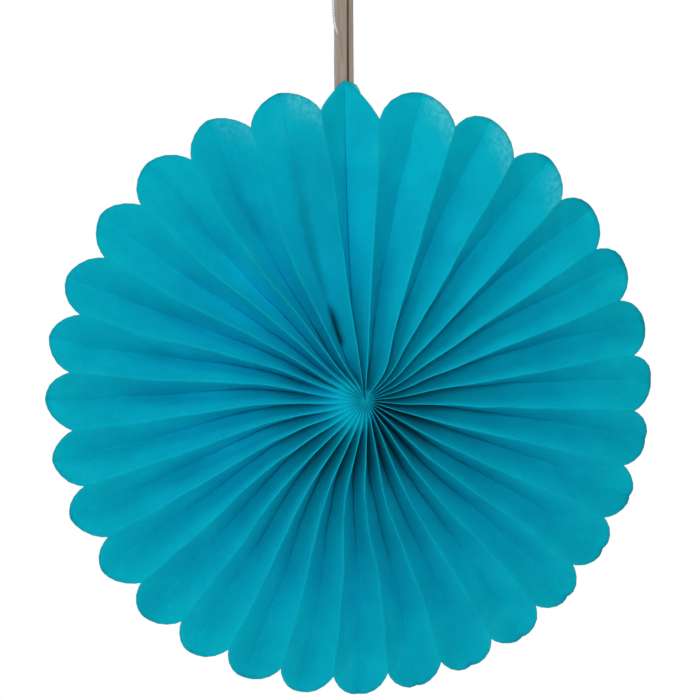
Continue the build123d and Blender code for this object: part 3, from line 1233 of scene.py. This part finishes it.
    def shape(self, axis: Vector) -> GeometryBench:
        """Build the tree that pleats a grid.

        Args:
            axis: The middle of the rim, in metres.

        Returns:
            The tree, with its named inputs.
        """
        bench = GeometryBench("pleated sheet", self.sizes(), [("Mesh", "NodeSocketGeometry")])
        panels = bench.given("Panels")
        corners = {"Vertices_X": panels * self.columns + 1, "Vertices_Y": self.rows}
        grid = bench.node("GeometryNodeMeshGrid", None, Size_X=1.0, Size_Y=1.0, **corners)
        flat = bench.out(bench.node("GeometryNodeInputPosition"))
        flat = bench.node("ShaderNodeSeparateXYZ", None, Vector=flat)
        across = (bench.out(flat, "X") + 0.5) * panels + bench.given("First panel")
        spot = self.open_fan(bench, self.count_panels(across), bench.out(flat, "Y") + 0.5)
        position = bench.vectors("ADD", bench.scaled(self.place(bench, spot), MM), tuple(axis))
        tone = {"ID": across.floor(), "Seed": self.tone_seed}
        tone = bench.node("FunctionNodeRandomValue", {"data_type": "FLOAT"}, **tone)
        mesh = bench.store(bench.out(grid, "Mesh"), "tone", bench.out(tone, 1), "FACE")
        for name, value in self.shade.marks(spot, bench.given("Panel width")).items():
            mesh = bench.store(mesh, name, value)
        mesh = bench.out(bench.node("GeometryNodeSetPosition", None, Geometry=mesh, Position=position))
        merge = bench.node("GeometryNodeMergeByDistance", None, Geometry=mesh, Distance=self.merge_distance)
        bench.deliver(bench.out(merge))
        return bench

    def thicken(self, piece: bpy.types.Object, thickness: float, node: str) -> None:
        """Give a sheet its thickness and stand it in for a plain node.

        Args:
            piece: The sheet's middle surface.
            thickness: Thickness in millimetres.
            node: The plain node.
        """
        shade_smooth(piece.data)
        skin = piece.modifiers.new("thickness", "SOLIDIFY")
        skin.thickness = thickness * MM
        skin.offset = 0.0
        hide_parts(node)
        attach(piece, ROOT)
        log.info("%s: %d faces before its thickness", piece.name, len(piece.data.polygons))

    def build(self, axis: Vector, tape: FilmFinish) -> None:
        """Grow the paper and the tape in its seam.

        Args:
            axis: The middle of the rim, in metres.
            tape: The tape's finish.
        """
        bench = self.shape(axis)
        paper = bench.harvest(self.sizes(), "pleated_paper", self.finish.material())
        self.thicken(paper, self.thickness, "folded_paper")
        strip = bench.harvest(self.tape_sizes(), "tape", tape.material())
        self.thicken(strip, self.tape - 2 * self.tape_clearance, "seam_tape")


def spline_points(name: str, controls: Sequence[Sequence[float]]) -> list[Vector]:
    """Follow a smooth route.

    Args:
        name: Name of the passing curve.
        controls: Control points of a quadratic spline, in millimetres.

    Returns:
        Points along the spline, in metres.
    """
    curve = bpy.data.curves.new(name, "CURVE")
    curve.dimensions = "3D"
    spline = curve.splines.new("NURBS")
    spline.points.add(len(controls) - 1)
    for point, control in zip(spline.points, controls):
        point.co = (*(number * MM for number in control), 1.0)
    spline.order_u = 3
    spline.use_endpoint_u = True
    spline.resolution_u = ROUTE_STEPS
    host = bpy.data.objects.new(name, curve)
    bpy.context.collection.objects.link(host)
    bpy.context.view_layer.update()
    graph = bpy.context.evaluated_depsgraph_get()
    line = bpy.data.meshes.new_from_object(host.evaluated_get(graph), depsgraph=graph)
    points = [vertex.co.copy() for vertex in line.vertices]
    bpy.data.objects.remove(host)
    bpy.data.curves.remove(curve)
    bpy.data.meshes.remove(line)
    return points


def line_length(points: Sequence[Vector]) -> float:
    """Length of a line of points."""
    return sum((b - a).length for a, b in zip(points, points[1:]))


def tangents(points: Sequence[Vector]) -> list[Vector]:
    """Direction of a line at each of its points."""
    ends = [points[0], *points, points[-1]]
    return [(after - before).normalized() for before, after in zip(ends, ends[2:])]


def tube_faces(base: int, rings: int, count: int) -> list[tuple[int, ...]]:
    """Join rings of points to a closed tube.

    Args:
        base: Number of the first ring's first point.
        rings: How many rings there are.
        count: How many points each ring has.

    Returns:
        The sides and the two ends, each as point numbers.
    """
    faces = []
    last = base + (rings - 1) * count
    for low in range(base, last, count):
        for j in range(count):
            k = (j + 1) % count
            faces.append((low + j, low + k, low + count + k, low + count + j))
    faces.append(tuple(base + j for j in reversed(range(count))))
    faces.append(tuple(last + j for j in range(count)))
    return faces


def shade_smooth(mesh: bpy.types.Mesh) -> None:
    """Shade every face of a mesh smooth."""
    mesh.polygons.foreach_set("use_smooth", [True] * len(mesh.polygons))


def face_outwards(mesh: bpy.types.Mesh) -> None:
    """Turn every face of a closed mesh outwards.

    Args:
        mesh: The mesh.
    """
    shell = bmesh.new()
    shell.from_mesh(mesh)
    bmesh.ops.recalc_face_normals(shell, faces=shell.faces)
    shell.to_mesh(mesh)
    shell.free()


@dataclass
class HangingRibbon:
    """The doubled ribbon, from one glued end over the loop to the other."""

    route: tuple[tuple[float, float, float], ...] = (
        (-2.2, -3.43, -77.78),
        (-2.3, -0.42, -59.78),
        (-2.4, -1.26, -41.79),
        (-2.4, -2.87, -6.97),
        (-2.3, -3.2, 0.22),
        (1.3, 3.2, 0.22),
        (1.3, 2.87, -6.97),
        (1.3, 1.26, -41.79),
        (1.3, 0.42, -59.78),
        (1.3, -2.58, -77.78),
    )
    width: float = 6.2
    thickness: float = 0.45
    cupping: float = 0.12
    flat_share: float = 0.985
    flat_level: float = 0.4
    edge_drop: float = 0.6
    edge_radius: float = 0.06
    steps: int = 10
    finish: RibbonFinish = RibbonFinish()

    def profile(self) -> list[tuple[float, float]]:
        """Outline of the ribbon's section.

        Returns:
            Points across and through it, in millimetres, once round.
        """
        half, thick = self.width / 2, self.thickness / 2
        shares = [2 * n / self.steps - 1 for n in range(self.steps + 1)]
        level, low = self.flat_level, -self.cupping * self.edge_drop
        front = [(half * s * self.flat_share, thick - self.cupping * (s * s - level)) for s in shares]
        back = [(x, y - self.thickness) for x, y in front]
        return [(-half, low), *front, (half, low), *reversed(back)]

    def build(self) -> bpy.types.Object:
        """Weave the ribbon along its route.

        Returns:
            The finished piece.
        """
        points = spline_points("ribbon_route", self.route)
        profile = self.profile()
        vertices, across, along = [], [], []
        travelled = 0.0
        for n, (point, forward) in enumerate(zip(points, tangents(points))):
            travelled += (point - points[n - 1]).length if n else 0.0
            side = (Vector((1, 0, 0)) - forward * forward.x).normalized()
            out = forward.cross(side)
            for x, y in profile:
                vertices.append(point + side * (x * MM) + out * (y * MM))
                across.append(x + self.width / 2)
                along.append(travelled / MM)
        mesh = bpy.data.meshes.new("ribbon")
        mesh.from_pydata(vertices, [], tube_faces(0, len(points), len(profile)))
        for name, numbers in (("across", across), ("along", along)):
            mesh.attributes.new(name, "FLOAT", "POINT").data.foreach_set("value", numbers)
        shade_smooth(mesh)
        mesh.materials.append(self.finish.material())
        face_outwards(mesh)
        piece = bpy.data.objects.new("ribbon", mesh)
        bpy.context.collection.objects.link(piece)
        bevel = piece.modifiers.new("edges", "BEVEL")
        bevel.width = self.edge_radius * MM
        bevel.segments = 2
        bevel.limit_method = "ANGLE"
        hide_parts("hanging_ribbon")
        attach(piece, ROOT)
        log.info("ribbon: %.1f mm long", line_length(points) / MM)
        return piece


@dataclass
class HangingThread:
    """The twisted thread stitched through the ribbon's front."""

    route: tuple[tuple[float, float, float], ...] = (
        (-4.2, -1.76, -37.1),
        (-4.2, -4.3, -37.2),
        (-6.0, -5.1, -32.0),
        (-6.5, -4.73, -21.43),
        (-6.2, -5.22, -12.95),
        (-5.5, -6.05, -7.98),
        (-4.3, -5.89, -4.97),
        (-4.3, -3.19, -4.84),
    )
    diameter: float = 1.3
    plies: int = 3
    lay_length: float = 4.2
    ply_swell: float = 1.12
    sides: int = 10
    finish: ThreadFinish = ThreadFinish()

    def build(self) -> bpy.types.Object:
        """Twist the plies along the route.

        Returns:
            The finished piece.
        """
        points = spline_points("thread_route", self.route)
        ply = self.diameter / (1 + 2 / math.sqrt(3)) / 2 * self.ply_swell
        orbit = self.diameter / 2 - ply
        vertices, faces = [], []
        for strand in range(self.plies):
            base = len(vertices)
            travelled = 0.0
            side = Vector((1, 0, 0))
            for n, (point, forward) in enumerate(zip(points, tangents(points))):
                travelled += (point - points[n - 1]).length / MM if n else 0.0
                side = (side - forward * side.dot(forward)).normalized()
                out = forward.cross(side)
                turn = 2 * math.pi * (travelled / self.lay_length + strand / self.plies)
                middle = point + (side * math.cos(turn) + out * math.sin(turn)) * (orbit * MM)
                for j in range(self.sides):
                    angle = 2 * math.pi * j / self.sides
                    vertices.append(middle + (side * math.cos(angle) + out * math.sin(angle)) * (ply * MM))
            faces.extend(tube_faces(base, len(points), self.sides))
        mesh = bpy.data.meshes.new("thread")
        mesh.from_pydata(vertices, [], faces)
        shade_smooth(mesh)
        mesh.materials.append(self.finish.material())
        face_outwards(mesh)
        piece = bpy.data.objects.new("thread", mesh)
        bpy.context.collection.objects.link(piece)
        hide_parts("hanging_thread")
        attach(piece, ROOT)
        log.info("thread: %.1f mm long", line_length(points) / MM)
        return piece


def dress(node: str, material: bpy.types.Material, nodes: dict[str, bpy.types.Object]) -> None:
    """Give a carried-over node its finish.

    Args:
        node: The node's name.
        material: The finish.
        nodes: The frame's nodes, by name.
    """
    for holder in nodes[node].material_slots:
        holder.material = material
    log.info("%s: dressed", node)


@dataclass
class Studio:
    """Pale floor, soft light and the camera."""

    distance: float = 1.711
    azimuth: float = -7.48
    elevation: float = 4.15
    lens: float = 180.0
    sensor: float = 36.0
    centre_right: float = 2.2
    centre_down: float = 42.4
    picture: float = 700.0
    ambient: float = 0.24
    floor_drop: float = 0.16
    floor_radius: float = 0.8
    floor_corners: int = 96
    floor_glow: float = 0.25
    floor_grain: float = 9.0
    floor_shade: Fade = Fade(0.3, 0.7)
    floor_dark: Colour = (0.84, 0.84, 0.85, 1.0)
    floor_light: Colour = (0.9, 0.9, 0.9, 1.0)
    lamp_size: float = 1.2
    lamps: tuple[tuple[str, tuple[float, float, float], float], ...] = (
        ("front", (-0.2, -2.5, 0.3), 44.0),
        ("key", (-1.15, -1.0, 1.93), 11.5),
        ("back", (0.7, 2.3, 0.7), 40.0),
    )

    def camera(self, target: Vector) -> None:
        """Stand the camera in front of the fan.

        Args:
            target: The middle of the rim.
        """
        turn, rise = math.radians(self.azimuth), math.radians(self.elevation)
        back = Vector((math.sin(turn) * math.cos(rise), -math.cos(turn) * math.cos(rise), math.sin(rise)))
        data = bpy.data.cameras.new("camera")
        data.sensor_width = self.sensor
        data.lens = self.lens
        data.shift_x = -self.centre_right / self.picture
        data.shift_y = self.centre_down / self.picture
        eye = bpy.data.objects.new("camera", data)
        eye.location = target + back * self.distance
        eye.rotation_mode = "QUATERNION"
        eye.rotation_quaternion = (-back).to_track_quat("-Z", "Y")
        bpy.context.collection.objects.link(eye)
        bpy.context.scene.camera = eye

    def lamp(self, name: str, place: Vector, target: Vector, watts: float) -> None:
        """Hang a soft square lamp that points at the fan.

        Args:
            name: The lamp's name.
            place: Where it hangs.
            target: What it points at.
            watts: Its power.
        """
        data = bpy.data.lights.new(name, "AREA")
        data.shape = "SQUARE"
        data.size = self.lamp_size
        data.energy = watts
        lamp = bpy.data.objects.new(name, data)
        lamp.location = place
        lamp.rotation_mode = "QUATERNION"
        lamp.rotation_quaternion = (target - place).to_track_quat("-Z", "Y")
        bpy.context.collection.objects.link(lamp)

    def world(self) -> None:
        """Even pale light, and a white background to the eye."""
        world = bpy.data.worlds.new("studio")
        world.use_nodes = True
        bpy.context.scene.world = world
        bench = Bench(world.node_tree)
        path = bench.node("ShaderNodeLightPath")
        seen = bench.out(path, "Is Camera Ray").at_least(bench.out(path, "Is Glossy Ray"))
        seen = seen.at_least(bench.out(path, "Is Transmission Ray"))
        strength = self.ambient + seen * (1 - self.ambient)
        glow = bench.node("ShaderNodeBackground", None, Color=(1, 1, 1, 1), Strength=strength)
        output = bench.node("ShaderNodeOutputWorld")
        bench.tree.links.new(glow.outputs[0], output.inputs["Surface"])

    def floor(self, lowest: float, centre: Vector) -> None:
        """Lay a round pale floor below the fan.

        Args:
            lowest: The fan's lowest point.
            centre: The middle of the rim.
        """
        count, radius, height = self.floor_corners, self.floor_radius, lowest - self.floor_drop
        ring = [2 * math.pi * n / count for n in range(count)]
        corners = [(centre.x + radius * math.cos(a), centre.y + radius * math.sin(a), height) for a in ring]
        mesh = bpy.data.meshes.new("floor")
        mesh.from_pydata(corners, [], [tuple(range(count))])
        bench = ShaderBench("pale_floor", Emission_Color=(1, 1, 1, 1))
        grain = bench.noise(bench.place(), scale=self.floor_grain, detail=4.0, rough=0.6)
        colour = bench.blend(self.floor_shade.of(grain), self.floor_dark, self.floor_light)
        bench.finish(colour, 0.85 + grain * 0.1)
        seen = bench.out(bench.node("ShaderNodeLightPath"), "Is Camera Ray")
        bench.put(bench.shader.inputs["Emission Strength"], seen * self.floor_glow)
        mesh.materials.append(bench.material)
        floor = bpy.data.objects.new("floor", mesh)
        bpy.context.collection.objects.link(floor)
        floor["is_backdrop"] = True

    def build(self, rim: Vector, lowest: float) -> None:
        """Set up the studio.

        Args:
            rim: The middle of the fan's rim.
            lowest: The fan's lowest point.
        """
        self.camera(rim)
        for name, offset, watts in self.lamps:
            self.lamp(name, rim + Vector(offset), rim, watts)
        self.world()
        self.floor(lowest, rim)
        bpy.context.scene.view_settings.view_transform = "Standard"
        log.info("studio: ready")


def rim_centre(paper: PleatedPaper) -> Vector:
    """Find the middle of the rim from the bead in the hub, which lies on the fan's axis.

    Args:
        paper: The folded strip's sizes.

    Returns:
        The middle of the rim, in metres.
    """
    low, high = (Vector(corner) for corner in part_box("hub_glue"))
    middle = (low + high) / 2
    hub_radius = BEAD_SPREAD * paper.thickness * paper.folds.lobes / math.pi
    behind = paper.cone_height * (1 - hub_radius / paper.tip_radius)
    return middle + Vector((0, behind * MM, 0))


def main() -> None:
    """Build the fan, its ribbon and thread, and the studio."""
    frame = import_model()
    solid_box = [list(corner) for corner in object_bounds()]
    paper = PleatedPaper()
    rim = rim_centre(paper)
    lowest = solid_box[0][2]
    Studio().build(rim, lowest)
    HangingRibbon().build()
    HangingThread().build()
    paper.build(rim, CLEAR_TAPE)
    dress("hub_glue", DRIED_GLUE.material(), frame["nodes"])


if __name__ == "__main__":
    main()
